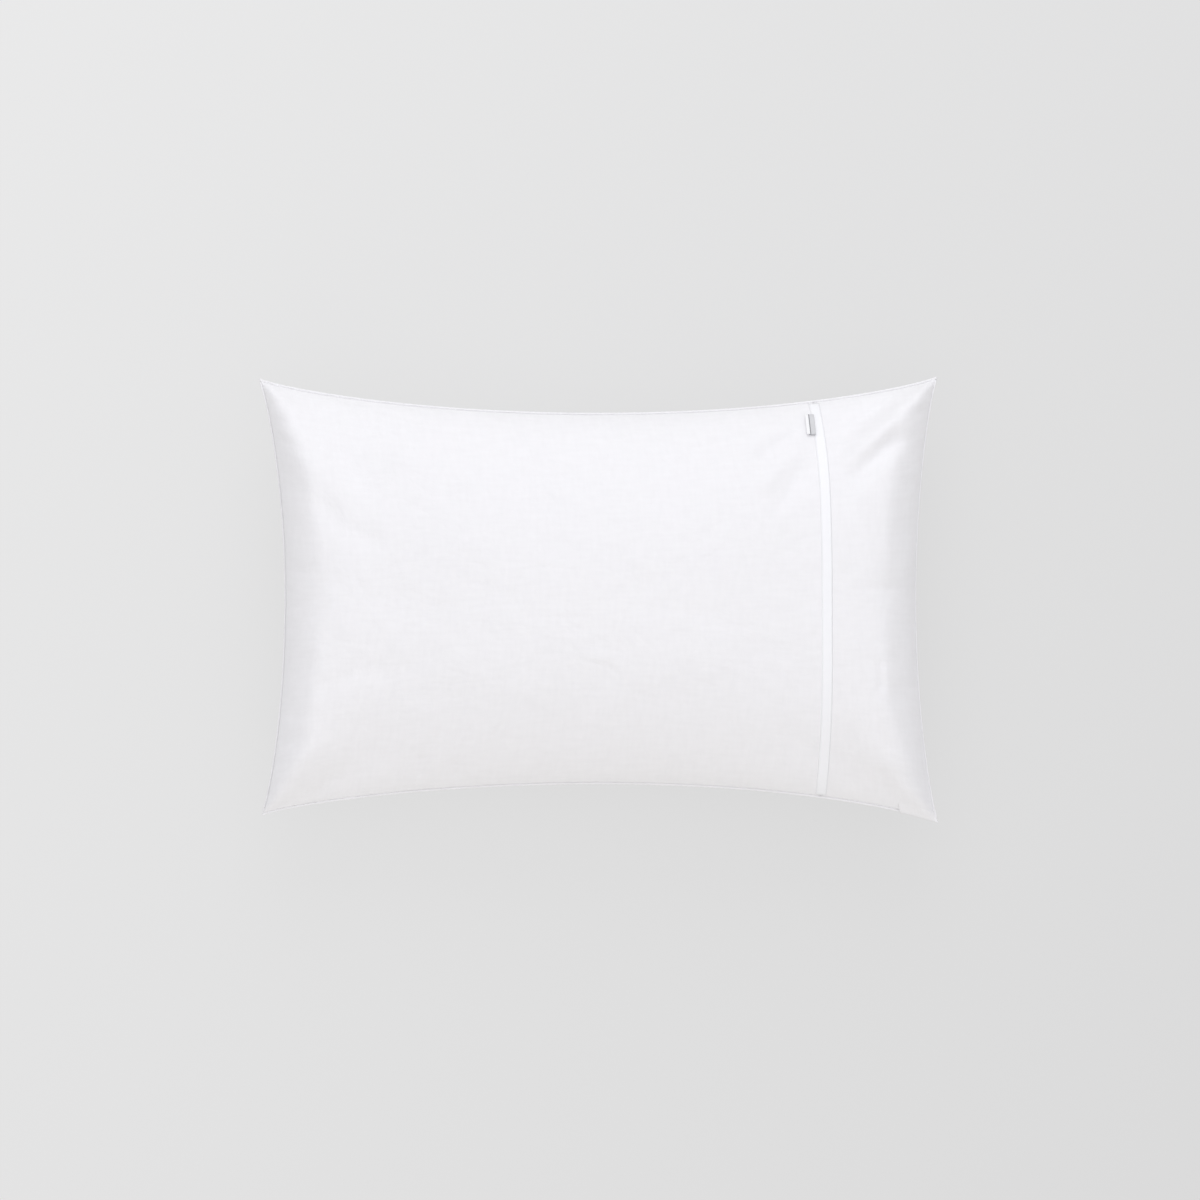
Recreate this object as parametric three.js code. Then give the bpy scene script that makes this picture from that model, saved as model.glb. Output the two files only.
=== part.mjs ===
// Bed pillow in a cuffed cotton pillowcase, lying on its back panel.
// Millimetres, +Z up. X runs along the pillow, with the case's mouth at +X.
// Every cloth piece is a thin solid laid out on a plan grid: s runs from the closed end (-1)
// to the mouth (+1) and t from the lower side (-1) to the upper side (+1).
import * as THREE from 'three';

// Overall size of the filled case, from ear tip to ear tip.
const CASE_LENGTH = 712;
const CASE_WIDTH = 462;
// How far the middle of each short end and of each long side is drawn in from its ear tips.
const END_DRAW_IN = 25;
const SIDE_DRAW_IN = 38;
// Height of the side seams over the floor, and how much lower the ear tips hang.
const SEAM_HEIGHT = 84;
const EAR_DROP = 14;
// Height of the front over the seams, and how far the floor presses the back in.
const CROWN_TOP = 100;
const FLOOR_PRESS = 8;

// Case cloth.
const CASE_CLOTH = 1.6;
const SEWN_GAP = 0.3;
const BEAD_GAP = 0.5;
const SEAM_RADIUS = 1;
// Cuff at the mouth: its depth beside the side seams, and as seen from above at mid-width.
const CUFF_DEPTH_AT_SEAM = 125;
const CUFF_DEPTH_AT_MIDDLE = 89.5;
// Tape sewn over the joint between panel and cuff.
const TAPE_WIDTH = 11.5;
const TAPE_THICKNESS = 0.8;
const TAPE_CLEARANCE = 1;
// Flap that is turned in at the mouth and holds the pillow in.
const FLAP_DEPTH = 150;
const FLAP_THICKNESS = 1;
const FLAP_CLEARANCE = 2;
const FLAP_START = 6;
const FLAP_TURN = 15;
const FLAP_SIDE_SHARE = 0.88;
// Maker's tab, caught in the tape's seam beside the upper side.
const TAB_WIDTH = 9.5;
const TAB_LENGTH = 27;
const TAB_THICKNESS = 0.8;
const TAB_CLEARANCE = 1;
const TAB_ROOT_GAP = 1.5;
const TAB_FROM_SIDE = 28;
// Care label inside the case, on the lower side seam.
const CARE_LABEL_WIDTH = 30;
const CARE_LABEL_LENGTH = 46;
const CARE_LABEL_THICKNESS = 0.6;
const CARE_LABEL_CLEARANCE = 2;
const CARE_LABEL_FROM_SIDE = 24;
const CARE_LABEL_FROM_END = 120;

// Room round the pillow inside the case, at the ears and at the middle of each side, and how
// far the pillow sits towards the closed end.
const PILLOW_END_ROOM_AT_EARS = 31;
const PILLOW_END_ROOM_AT_MIDDLE = 15;
const PILLOW_SIDE_ROOM_AT_EARS = 28;
const PILLOW_SIDE_ROOM_AT_MIDDLE = 8;
const PILLOW_SHIFT = -4;
const PILLOW_CLEARANCE = 6;
const PILLOW_FLOOR_CLEARANCE = 2;
const TICKING = 1.5;
const PIPING_RADIUS = 2;
const FILL_CLEARANCE = 0.6;
const PILLOW_LABEL_FROM_END = 70;

// Roundness of the shoulders, and how close to the tips the ears start to hang.
const SHOULDER_POWER = 2.6;
const SHOULDER_FALL = 0.8;
const EAR_POWER = 4;

// Fineness of the facets.
const PANEL_CELLS = 20;
const CUFF_CELLS = 6;
const CROSS_CELLS = 16;
const FLAP_CELLS = 12;
const PILLOW_CELLS = 16;
const PILLOW_CROSS_CELLS = 12;
const LABEL_CELLS = 2;
const SEAM_STEPS = 36;
const SEAM_SIDES = 6;
const PIPING_STEPS_PER_LEG = 16;
const PIPING_SIDES = 8;
// The end seam stops short of the side seams, and the piping short of its own start.
const END_SEAM_SHARE = 0.985;
const PIPING_START = 0.01;

const CASE_FORM = {
  halfLength: CASE_LENGTH / 2,
  halfWidth: CASE_WIDTH / 2,
  endDrawIn: END_DRAW_IN,
  sideDrawIn: SIDE_DRAW_IN,
  shift: 0,
};
const PILLOW_FORM = {
  halfLength: CASE_FORM.halfLength - PILLOW_END_ROOM_AT_EARS,
  halfWidth: CASE_FORM.halfWidth - PILLOW_SIDE_ROOM_AT_EARS,
  endDrawIn: END_DRAW_IN + PILLOW_END_ROOM_AT_MIDDLE - PILLOW_END_ROOM_AT_EARS,
  sideDrawIn: SIDE_DRAW_IN + PILLOW_SIDE_ROOM_AT_MIDDLE - PILLOW_SIDE_ROOM_AT_EARS,
  shift: PILLOW_SHIFT,
};
const CROWN_BOTTOM = SEAM_HEIGHT + FLOOR_PRESS;

const lerp = THREE.MathUtils.lerp;
const smoothstep = THREE.MathUtils.smoothstep;

// Half length of a form along the line t, and half width along the line s.
function reachX(form, t) {
  return form.halfLength - form.endDrawIn * (1 - t * t);
}

function reachY(form, s) {
  return form.halfWidth - form.sideDrawIn * (1 - s * s);
}

function planPoint(form, s, t) {
  return new THREE.Vector2(s * reachX(form, t) + form.shift, t * reachY(form, s));
}

// Share of the full crown at a place on the plan: 1 in the middle, 0 on the seams.
function shoulder(u) {
  return (1 - Math.min(1, Math.abs(u)) ** SHOULDER_POWER) ** SHOULDER_FALL;
}

function swell(s, t) {
  return shoulder(s) * shoulder(t);
}

function seamHeight(form, s, t) {
  const plan = planPoint(form, s, t);
  const alongX = Math.abs(plan.x) / CASE_FORM.halfLength;
  const alongY = Math.abs(plan.y) / CASE_FORM.halfWidth;
  return SEAM_HEIGHT - EAR_DROP * (alongX * alongY) ** EAR_POWER;
}

// Inner face of the case, in front and at the back.
function frontInner(s, t) {
  return seamHeight(CASE_FORM, s, t) + SEWN_GAP / 2 + CROWN_TOP * swell(s, t);
}

function backInner(s, t) {
  const free = seamHeight(CASE_FORM, s, t) - SEWN_GAP / 2 - CROWN_BOTTOM * swell(s, t);
  return Math.max(CASE_CLOTH, free);
}

// Inner face of the pillow's ticking, in front and at the back.
function tickingFrontInner(s, t) {
  const crown = CROWN_TOP - PILLOW_CLEARANCE - TICKING;
  return seamHeight(PILLOW_FORM, s, t) + SEWN_GAP / 2 + crown * swell(s, t);
}

function tickingBackInner(s, t) {
  const crown = CROWN_BOTTOM - PILLOW_FLOOR_CLEARANCE - TICKING;
  const free = seamHeight(PILLOW_FORM, s, t) - SEWN_GAP / 2 - crown * swell(s, t);
  return Math.max(CASE_CLOTH + PILLOW_FLOOR_CLEARANCE + TICKING, free);
}

// Plan lines are spaced as the sine of an even angle, so that they close up towards the seams,
// where the cloth turns over fastest.
function spacedBetween(start, end, share) {
  return Math.sin(lerp(Math.asin(start), Math.asin(end), share));
}

// Splits the cells of a box's lower face along the same diagonals as its upper face's, so that
// cloth laid on the same plan lines stays parallel.
function matchDiagonals(box) {
  const lowerFace = box.groups[box.groups.length - 1];
  const index = box.getIndex();
  const corners = 6;
  for (let i = lowerFace.start; i < lowerFace.start + lowerFace.count; i += corners) {
    const [a, b, d, , c] = index.array.slice(i, i + corners);
    [a, b, c, a, c, d].forEach((vertex, k) => index.setX(i + k, vertex));
  }
}

// A thin solid over a patch of the plan. from and to give the patch's ends in s for each t,
// and lower and upper give the heights of its two faces.
function clothSolid({ form, from, to, tFrom, tTo, cells, crossCells, lower, upper }) {
  const geometry = new THREE.BoxGeometry(1, 1, 1, cells, crossCells, 1);
  matchDiagonals(geometry);
  const position = geometry.getAttribute('position');
  for (let i = 0; i < position.count; i += 1) {
    const t = spacedBetween(tFrom, tTo, position.getY(i) + 0.5);
    const s = spacedBetween(from(t), to(t), position.getX(i) + 0.5);
    const plan = planPoint(form, s, t);
    const height = position.getZ(i) > 0 ? upper(s, t) : lower(s, t);
    position.setXYZ(i, plan.x, plan.y, height);
  }
  return geometry;
}

// Plan position s of the joint between panel and cuff.
function jointS(t) {
  const depth = lerp(CUFF_DEPTH_AT_SEAM, CUFF_DEPTH_AT_MIDDLE, 1 - t * t);
  const reach = reachX(CASE_FORM, t);
  return (reach - depth) / reach;
}

function offsetS(sLine, distance) {
  return (t) => sLine(t) + distance / reachX(CASE_FORM, t);
}

const closedEnd = () => -1;
const mouth = () => 1;
const panelEdge = offsetS(jointS, -SEWN_GAP / 2);
const cuffEdge = offsetS(jointS, SEWN_GAP / 2);

function casePatch(patch) {
  return clothSolid({ form: CASE_FORM, tFrom: -1, tTo: 1, crossCells: CROSS_CELLS, ...patch });
}

const FRONT_FACES = {
  lower: frontInner,
  upper: (s, t) => frontInner(s, t) + CASE_CLOTH,
};
const BACK_FACES = {
  lower: (s, t) => backInner(s, t) - CASE_CLOTH,
  upper: backInner,
};
const TAPE_ENDS = {
  from: offsetS(jointS, -TAPE_WIDTH / 2),
  to: offsetS(jointS, TAPE_WIDTH / 2),
};

function tapeOver(height, direction) {
  const near = (s, t) => height(s, t) + direction * TAPE_CLEARANCE;
  const far = (s, t) => near(s, t) + direction * TAPE_THICKNESS;
  const faces = direction > 0 ? { lower: near, upper: far } : { lower: far, upper: near };
  return casePatch({ ...TAPE_ENDS, cells: 2, ...faces });
}

// The flap starts beside the back cuff's inner face at the mouth, turns up round the pillow's
// end and lies under the front.
function flapLower(s, t) {
  const fromMouth = (1 - s) * reachX(CASE_FORM, t);
  const onBack = backInner(s, t) + FLAP_CLEARANCE;
  const underFront = frontInner(s, t) - FLAP_CLEARANCE - FLAP_THICKNESS;
  return lerp(onBack, underFront, smoothstep(fromMouth, FLAP_START, FLAP_TURN));
}

function makeFlap() {
  return casePatch({
    from: offsetS(mouth, -FLAP_DEPTH),
    to: offsetS(mouth, -FLAP_START),
    tFrom: -FLAP_SIDE_SHARE,
    tTo: FLAP_SIDE_SHARE,
    cells: FLAP_CELLS,
    lower: flapLower,
    upper: (s, t) => flapLower(s, t) + FLAP_THICKNESS,
  });
}

// A line on the edge of a form, stepped evenly in its own parameter so that the steps of a
// bead fall on its corners.
class EdgeLine extends THREE.Curve {
  constructor(place) {
    super();
    this.place = place;
  }

  getPoint(u) {
    return this.place(u);
  }

  getUtoTmapping(u) {
    return u;
  }
}

// A round bead along a line.
function bead(place, radius, steps, sides) {
  const outline = [];
  for (let i = 0; i < sides; i += 1) {
    const angle = (i / sides) * 2 * Math.PI;
    outline.push(new THREE.Vector2(radius * Math.cos(angle), radius * Math.sin(angle)));
  }
  return new THREE.ExtrudeGeometry(new THREE.Shape(outline), {
    steps,
    extrudePath: new EdgeLine(place),
    bevelEnabled: false,
  });
}

// A place on a form's edge, pushed outwards by the bead's radius and gap.
function edgePoint(form, s, t, outX, outY, radius) {
  const plan = planPoint(form, s, t);
  const push = radius + BEAD_GAP;
  return new THREE.Vector3(plan.x + outX * push, plan.y + outY * push, seamHeight(form, s, t));
}

function sideSeam(side) {
  const place = (u) => edgePoint(CASE_FORM, lerp(-1, 1, u), side, 0, side, SEAM_RADIUS);
  return bead(place, SEAM_RADIUS, SEAM_STEPS, SEAM_SIDES);
}

function endSeam() {
  const place = (u) => {
    const t = lerp(-END_SEAM_SHARE, END_SEAM_SHARE, u);
    return edgePoint(CASE_FORM, -1, t, -1, 0, SEAM_RADIUS);
  };
  return bead(place, SEAM_RADIUS, SEAM_STEPS, SEAM_SIDES);
}

// Piping right round the pillow. It starts and ends at the middle of the closed end.
function piping() {
  const corners = [
    [-1, PIPING_START], [-1, 1], [0, 1], [1, 1], [1, -1], [0, -1], [-1, -1], [-1, 0],
  ];
  const legs = corners.length - 1;
  const place = (u) => {
    const leg = Math.min(legs - 1, Math.floor(u * legs));
    const share = u * legs - leg;
    const s = lerp(corners[leg][0], corners[leg + 1][0], share);
    const t = lerp(corners[leg][1], corners[leg + 1][1], share);
    const outX = Math.abs(s) === 1 ? s : 0;
    const outY = Math.abs(t) === 1 ? t : 0;
    return edgePoint(PILLOW_FORM, s, t, outX, outY, PIPING_RADIUS);
  };
  return bead(place, PIPING_RADIUS, legs * PIPING_STEPS_PER_LEG, PIPING_SIDES);
}

// The filling lies on the ticking's own plan lines without their outermost ring of cells, so
// that it stops short of the seam, where the ticking closes up.
function makeFill() {
  const endShare = spacedBetween(0, 1, 1 - 2 / PILLOW_CELLS);
  const sideShare = spacedBetween(0, 1, 1 - 2 / PILLOW_CROSS_CELLS);
  return clothSolid({
    form: PILLOW_FORM,
    from: () => -endShare,
    to: () => endShare,
    tFrom: -sideShare,
    tTo: sideShare,
    cells: PILLOW_CELLS - 2,
    crossCells: PILLOW_CROSS_CELLS - 2,
    lower: (s, t) => tickingBackInner(s, t) + FILL_CLEARANCE,
    upper: (s, t) => tickingFrontInner(s, t) - FILL_CLEARANCE,
  });
}

function makeTicking(lower, upper) {
  return clothSolid({
    form: PILLOW_FORM,
    from: closedEnd,
    to: mouth,
    tFrom: -1,
    tTo: 1,
    cells: PILLOW_CELLS,
    crossCells: PILLOW_CROSS_CELLS,
    lower,
    upper,
  });
}

// A small label that follows the cloth under it.
function labelPatch(form, sMiddle, tMiddle, width, length, lower, upper) {
  const halfS = width / 2 / reachX(form, tMiddle);
  const halfT = length / 2 / reachY(form, sMiddle);
  return clothSolid({
    form,
    from: () => sMiddle - halfS,
    to: () => sMiddle + halfS,
    tFrom: tMiddle - halfT,
    tTo: tMiddle + halfT,
    cells: LABEL_CELLS,
    crossCells: LABEL_CELLS,
    lower,
    upper,
  });
}

function makeCareLabel() {
  const s = -1 + CARE_LABEL_FROM_END / CASE_FORM.halfLength;
  const middle = CARE_LABEL_FROM_SIDE + CARE_LABEL_LENGTH / 2;
  const t = -1 + middle / reachY(CASE_FORM, s);
  const upper = (a, b) => frontInner(a, b) - CARE_LABEL_CLEARANCE;
  const lower = (a, b) => upper(a, b) - CARE_LABEL_THICKNESS;
  return labelPatch(CASE_FORM, s, t, CARE_LABEL_WIDTH, CARE_LABEL_LENGTH, lower, upper);
}

function makePillowLabel() {
  const s = -1 + PILLOW_LABEL_FROM_END / PILLOW_FORM.halfLength;
  const ticking = (a, b) => tickingFrontInner(a, b) + TICKING;
  const lower = (a, b) => ticking(a, b) + CARE_LABEL_CLEARANCE;
  const upper = (a, b) => lower(a, b) + CARE_LABEL_THICKNESS;
  return labelPatch(PILLOW_FORM, s, 0, CARE_LABEL_WIDTH, CARE_LABEL_LENGTH, lower, upper);
}

// The maker's tab is flat. It lies on the panel with its sewn edge along the tape.
function makeTab() {
  const onFront = (s, t) => {
    const plan = planPoint(CASE_FORM, s, t);
    return new THREE.Vector3(plan.x, plan.y, frontInner(s, t) + CASE_CLOTH);
  };
  const middle = TAB_FROM_SIDE;
  const t = 1 - middle / reachY(CASE_FORM, TAPE_ENDS.from(1));
  const s = TAPE_ENDS.from(t);
  const step = 0.02;
  const root = onFront(s, t);
  const alongTape = onFront(TAPE_ENDS.from(t + step), t + step)
    .sub(onFront(TAPE_ENDS.from(t - step), t - step)).normalize();
  const alongPanel = onFront(s + step, t).sub(onFront(s - step, t)).normalize();
  const outward = alongPanel.clone().cross(alongTape).normalize();
  const across = alongTape.clone().cross(outward).normalize();
  const geometry = new THREE.BoxGeometry(TAB_WIDTH, TAB_LENGTH, TAB_THICKNESS);
  geometry.translate(-TAB_WIDTH / 2 - TAB_ROOT_GAP, 0, TAB_THICKNESS / 2 + TAB_CLEARANCE);
  const placed = new THREE.Matrix4().makeBasis(across, alongTape, outward).setPosition(root);
  geometry.applyMatrix4(placed);
  return geometry;
}

const COTTON = { color: 0xf4f3f6, roughness: 0.92, metalness: 0 };
const SATEEN_TAPE = { color: 0xf8f7fa, roughness: 0.7, metalness: 0 };
const THREAD = { color: 0xf6f5f7, roughness: 0.8, metalness: 0 };
const SATIN_TAB = { color: 0xc9cace, roughness: 0.45, metalness: 0 };
const LABEL_TAPE = { color: 0xfafafa, roughness: 0.6, metalness: 0 };
const TICKING_CLOTH = { color: 0xefece4, roughness: 0.9, metalness: 0 };
const FIBRE = { color: 0xfbfbfa, roughness: 1, metalness: 0 };

const pillow = new THREE.Group();

function addPiece(name, geometry, finish) {
  const mesh = new THREE.Mesh(geometry, new THREE.MeshStandardMaterial(finish));
  mesh.name = name;
  pillow.add(mesh);
}

const frontOuter = FRONT_FACES.upper;
const backOuter = BACK_FACES.lower;
const tickingFrontOuter = (s, t) => tickingFrontInner(s, t) + TICKING;
const tickingBackOuter = (s, t) => tickingBackInner(s, t) - TICKING;

addPiece('front_panel', casePatch({
  from: closedEnd, to: panelEdge, cells: PANEL_CELLS, ...FRONT_FACES,
}), COTTON);
addPiece('front_cuff', casePatch({
  from: cuffEdge, to: mouth, cells: CUFF_CELLS, ...FRONT_FACES,
}), COTTON);
addPiece('front_tape', tapeOver(frontOuter, 1), SATEEN_TAPE);
addPiece('back_panel', casePatch({
  from: closedEnd, to: panelEdge, cells: PANEL_CELLS, ...BACK_FACES,
}), COTTON);
addPiece('back_cuff', casePatch({
  from: cuffEdge, to: mouth, cells: CUFF_CELLS, ...BACK_FACES,
}), COTTON);
addPiece('back_tape', tapeOver(backOuter, -1), SATEEN_TAPE);
addPiece('tuck_in_flap', makeFlap(), COTTON);
addPiece('upper_side_seam', sideSeam(1), THREAD);
addPiece('lower_side_seam', sideSeam(-1), THREAD);
addPiece('closed_end_seam', endSeam(), THREAD);
addPiece('maker_tab', makeTab(), SATIN_TAB);
addPiece('case_care_label', makeCareLabel(), LABEL_TAPE);
addPiece('ticking_front', makeTicking(tickingFrontInner, tickingFrontOuter), TICKING_CLOTH);
addPiece('ticking_back', makeTicking(tickingBackOuter, tickingBackInner), TICKING_CLOTH);
addPiece('pillow_piping', piping(), TICKING_CLOTH);
addPiece('fibre_filling', makeFill(), FIBRE);
addPiece('pillow_care_label', makePillowLabel(), LABEL_TAPE);

// Stand the pillow on the floor with its box centred over the origin.
const box = new THREE.Box3().setFromObject(pillow);
const centre = box.getCenter(new THREE.Vector3());
pillow.position.set(-centre.x, -centre.y, -box.min.z);

export default pillow;
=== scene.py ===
"""Bed pillow: a fibre-filled pillow in a cotton case with a taped cuff and a tuck-in flap."""

import logging
import math
from dataclasses import dataclass, field
from enum import Enum
from typing import Callable, Sequence

import bmesh
import bpy
import numpy as np
from mathutils import Matrix, Vector
from mathutils.bvhtree import BVHTree


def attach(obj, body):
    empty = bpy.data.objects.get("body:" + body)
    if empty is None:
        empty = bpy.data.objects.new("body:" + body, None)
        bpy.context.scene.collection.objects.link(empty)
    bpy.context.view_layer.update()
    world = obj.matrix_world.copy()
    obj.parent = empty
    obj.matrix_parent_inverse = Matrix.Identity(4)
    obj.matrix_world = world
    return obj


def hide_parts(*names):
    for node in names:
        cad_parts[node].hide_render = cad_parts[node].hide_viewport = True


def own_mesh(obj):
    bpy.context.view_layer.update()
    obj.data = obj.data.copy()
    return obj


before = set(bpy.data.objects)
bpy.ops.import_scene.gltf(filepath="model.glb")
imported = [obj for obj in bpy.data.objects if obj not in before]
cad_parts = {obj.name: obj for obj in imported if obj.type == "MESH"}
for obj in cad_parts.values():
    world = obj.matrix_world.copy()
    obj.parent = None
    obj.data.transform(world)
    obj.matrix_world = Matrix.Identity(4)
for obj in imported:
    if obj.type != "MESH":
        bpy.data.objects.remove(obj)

log = logging.getLogger("bed_pillow")

Array = np.ndarray
Piece = bpy.types.Object
Node = bpy.types.Node
Socket = bpy.types.NodeSocket
Tree = bpy.types.NodeTree
Place = Callable[[Array, Array], Array]

HINGE = Vector((0.227165, 0.181555, 0.114505))
HINGE_AXIS = Vector((-0.07179, 0.80394, -0.59036))
TAB_SURFACE_DROP = 0.0012

PANEL_FLAT = (0.603, 0.480)
CUFF_FLAT = (0.127, 0.480)
TAPE_LENGTH = 0.470
FLAP_WIDTH = 0.424
LABEL_FLAT = (0.030, 0.046)
HEM_CORNER_FLAT = (0.041, 0.0164)
STITCH_PITCH = 0.0028
STITCH_LENGTH = 0.0020
THREAD_RADIUS = 0.00022
SEWN_EDGE = 0.9999
CASE_EASE_IN = 0.03
TICKING_EASE_IN = 0.04


class Body(Enum):
    """The bodies that the pieces move with."""

    BACK = "case_back"
    FRONT = "case_front"
    TAB = "tab"
    PILLOW = "pillow"


class Side(Enum):
    """The two cloths of a sewn bag."""

    FRONT = 1
    BACK = -1


class Weave(Enum):
    """How a cloth's threads cross."""

    PLAIN = "plain_weave"
    TWILL = "twill_weave"
    SATIN = "satin_weave"


# ---------------------------------------------------------------- plan and folds


@dataclass(frozen=True)
class BagPlan:
    """The outline of a sewn bag once it is filled, in metres."""

    half_length: float
    half_width: float
    left_draw_in: float
    right_draw_in: float
    side_draw_in: float
    shift: float
    front_crown: float
    back_crown: float
    flat_length: float
    flat_width: float
    bow: float = 0.8
    corners: tuple[tuple[int, int, float, float], ...] = ()

    def reach_x(self, t: Array, sign: int) -> Array:
        """Distance from the middle to the closed end (sign -1) or the mouth end (1)."""
        draw = self.left_draw_in if sign < 0 else self.right_draw_in
        return self.half_length - draw * np.clip(1 - t * t, 0, 1) ** self.bow

    def reach_y(self, s: Array) -> Array:
        """Distance from the middle to a side, at a place from -1 to 1 along."""
        return self.half_width - self.side_draw_in * np.clip(1 - s * s, 0, 1) ** self.bow

    def start_form(self, s: Array, t: Array, side: Side) -> Array:
        """Smooth crowned form that a bag is blown up from.

        Args:
            s: places along the bag, from -1 to 1.
            t: places across the bag, from -1 to 1.
            side: which of the two cloths.

        Returns:
            Points with the seam at height 0.
        """
        reach = np.where(s < 0, self.reach_x(t, -1), self.reach_x(t, 1))
        swell = shoulder(s) * shoulder(t)
        return np.stack([s * reach, t * self.reach_y(s), side.value * self.front_crown * swell], -1)


def shoulder(u: Array) -> Array:
    """Share of the crown's height, falling roundly from the middle to the seam."""
    return np.clip(1 - np.abs(u) ** 2.6, 0, 1) ** 0.8


def off_seam(s: Array, t: Array, reach: float) -> Array:
    """Share that rises from 0 at the seam to 1 a little way in."""
    return np.clip((1 - np.maximum(np.abs(s), np.abs(t))) / reach, 0, 1)


def smooth_step(low: float, high: float, value: Array) -> Array:
    """Soft ramp that is 0 up to the low value and 1 from the high one."""
    x = np.clip((value - low) / (high - low), 0, 1)
    return x * x * (3 - 2 * x)


def smooth_line(places: Sequence[float], values: Sequence[float]) -> tuple[Array, Array]:
    """A line through a few values, with its corners eased.

    Args:
        places: where the values are, rising.
        values: the values.

    Returns:
        Closely spaced places and the eased values there.
    """
    fine = np.linspace(places[0], places[-1], 201)
    rough = np.interp(fine, places, values)
    padded = np.concatenate([np.full(12, rough[0]), rough, np.full(12, rough[-1])])
    eased = np.convolve(padded, np.ones(25) / 25, "valid")
    hold = np.clip(np.minimum(fine - fine[0], fine[-1] - fine) / 0.12, 0, 1)
    return fine, rough * (1 - hold) + eased * hold


@dataclass(frozen=True)
class Fold:
    """A soft ridge (height over 0) or valley (under 0) along a line on the front."""

    line: tuple[tuple[float, float], ...]
    height: float
    width: float

    def lift(self, x: Array, y: Array) -> Array:
        """Height that the fold adds.

        Args:
            x: plan places along the case, in metres.
            y: plan places across the case, in metres.

        Returns:
            The lift at each place, in metres.
        """
        nearest = np.full(x.shape, 1e9)
        fade = np.zeros(x.shape)
        count = len(self.line) - 1
        for index in range(count):
            ax, ay = self.line[index]
            bx, by = self.line[index + 1]
            run = (bx - ax) ** 2 + (by - ay) ** 2
            along = np.clip(((x - ax) * (bx - ax) + (y - ay) * (by - ay)) / run, 0, 1)
            away = np.hypot(x - ax - along * (bx - ax), y - ay - along * (by - ay))
            place = (index + along) / count
            ends = np.clip(np.minimum(place, 1 - place) * 5, 0, 1)
            closer = away < nearest
            nearest = np.where(closer, away, nearest)
            fade = np.where(closer, ends, fade)
        return self.height * fade * np.exp(-((nearest / self.width) ** 2))


@dataclass(frozen=True)
class Gathers:
    """Small uneven puckers that run in from the seams."""

    seed: int
    end_count: int
    side_count: int
    end_depth: float
    side_depth: float
    end_run: float
    side_run: float

    def lift(self, plan: BagPlan, s: Array, t: Array) -> Array:
        """Height that the puckers add.

        Args:
            plan: the bag that is gathered.
            s: places along the bag.
            t: places across the bag.

        Returns:
            The lift at each place, in metres.
        """
        total = np.zeros(s.shape)
        rng = np.random.default_rng(self.seed)
        along = s * plan.flat_length / 2
        across = t * plan.flat_width / 2
        ends = (across, plan.flat_width, self.end_count, self.end_depth, self.end_run)
        sides = (along, plan.flat_length, self.side_count, self.side_depth, self.side_run)
        runs = (
            ((1 - s) * plan.flat_length / 2, *ends),
            ((1 + s) * plan.flat_length / 2, *ends),
            ((1 - t) * plan.flat_width / 2, *sides),
            ((1 + t) * plan.flat_width / 2, *sides),
        )
        for from_seam, place, length, count, depth, run in runs:
            for step in range(count):
                middle = ((step + 0.5 + rng.uniform(-0.35, 0.35)) / count - 0.5) * length
                size = depth * rng.uniform(0.25, 1.0)
                width = rng.uniform(0.0035, 0.0075)
                reach = run * rng.uniform(0.5, 1.3)
                lean = rng.uniform(-0.35, 0.35)
                off = (place - middle - lean * from_seam) / (width * (1 + from_seam / run))
                total -= size * np.exp(-(off**2)) * np.exp(-from_seam / reach)
        return total


# ---------------------------------------------------------------- blown-up bags


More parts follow.
